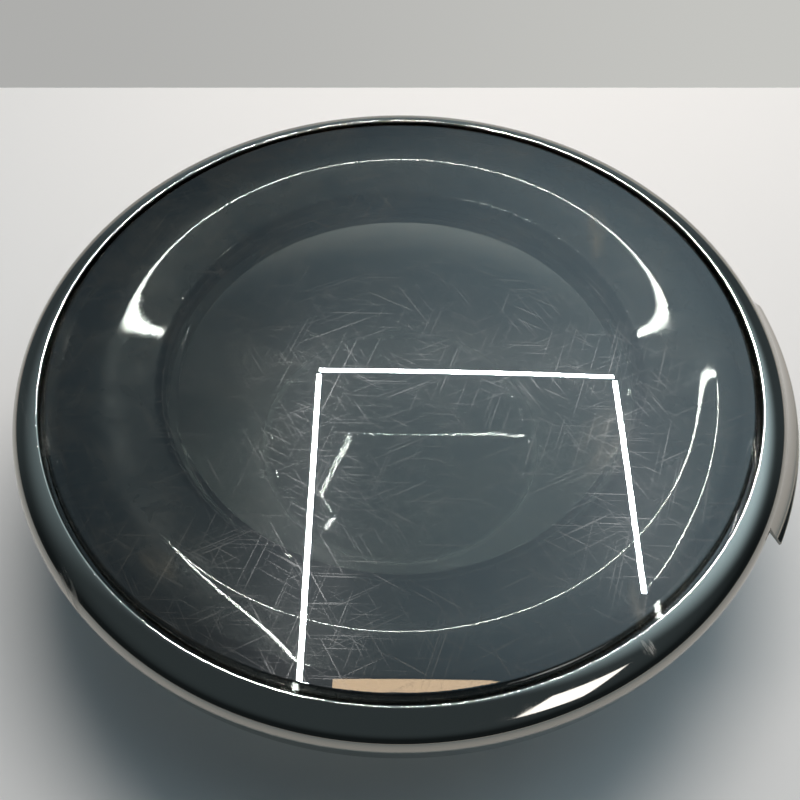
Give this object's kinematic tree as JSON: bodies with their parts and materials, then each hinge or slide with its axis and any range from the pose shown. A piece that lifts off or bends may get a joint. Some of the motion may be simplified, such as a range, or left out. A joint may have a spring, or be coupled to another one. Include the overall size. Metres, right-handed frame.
{
  "type": "washing machine door",
  "caption": "Round front-loader washing machine door with a chromed rim and pull grip, a smoked window, a glass bowl, a folding hinge and a sprung latch hook.",
  "frame": {"origin": "middle of the flat underside of the glass bowl, on the door's axis", "axes": "+Z along the door's axis out of its front face, +X through the middle of the grip and the latch, the hinge at -X with its pin along Y"},
  "size_m": [0.4785, 0.47, 0.114],
  "materials": {
    "chromed_plastic": "chrome plated moulded plastic, bright, with light scuffs",
    "smoked_plastic": "transparent smoked plastic, glossy, with fine scratches",
    "black_gloss_plastic": "glossy black plastic",
    "bowl_glass": "clear pressed glass",
    "seal_rubber": "black rubber",
    "grey_plastic": "light grey moulded plastic, matt",
    "screw_steel": "bright zinc plated steel",
    "hinge_steel": "zinc plated steel",
    "bush_plastic": "off-white bearing plastic"
  },
  "bodies": {
    "door": {"outer_ring": "chromed_plastic", "window_cover": "smoked_plastic", "front_bezel": "black_gloss_plastic", "glass_bowl": "bowl_glass", "glass_seal": "seal_rubber", "rear_frame": "grey_plastic", "bezel_screws": "screw_steel", "ring_screws": "screw_steel", "hinge_door_leaf": "hinge_steel", "hinge_screws": "screw_steel", "hinge_pin": "screw_steel", "pin_clip": "screw_steel", "hook_pin": "screw_steel", "hook_spring": "screw_steel"},
    "cabinet_leaf": {"hinge_cabinet_leaf": "hinge_steel", "bush_upper": "bush_plastic", "bush_lower": "bush_plastic"},
    "hook": {"latch_hook": "hinge_steel"}
  },
  "joints": [
    {"name": "door_hinge", "type": "hinge", "parent": "door", "child": "cabinet_leaf", "pos_m": [-0.212, 0, 0.068], "axis": [0, 1, 0], "range_deg": [-90, 70]},
    {"name": "hook_pivot", "type": "hinge", "parent": "door", "child": "hook", "pos_m": [0.186, 0, 0.0805], "axis": [0, 1, 0], "range_deg": [0, 12], "stiffness_Nm_per_rad": 0.5, "springref_deg": -5.73}
  ]
}
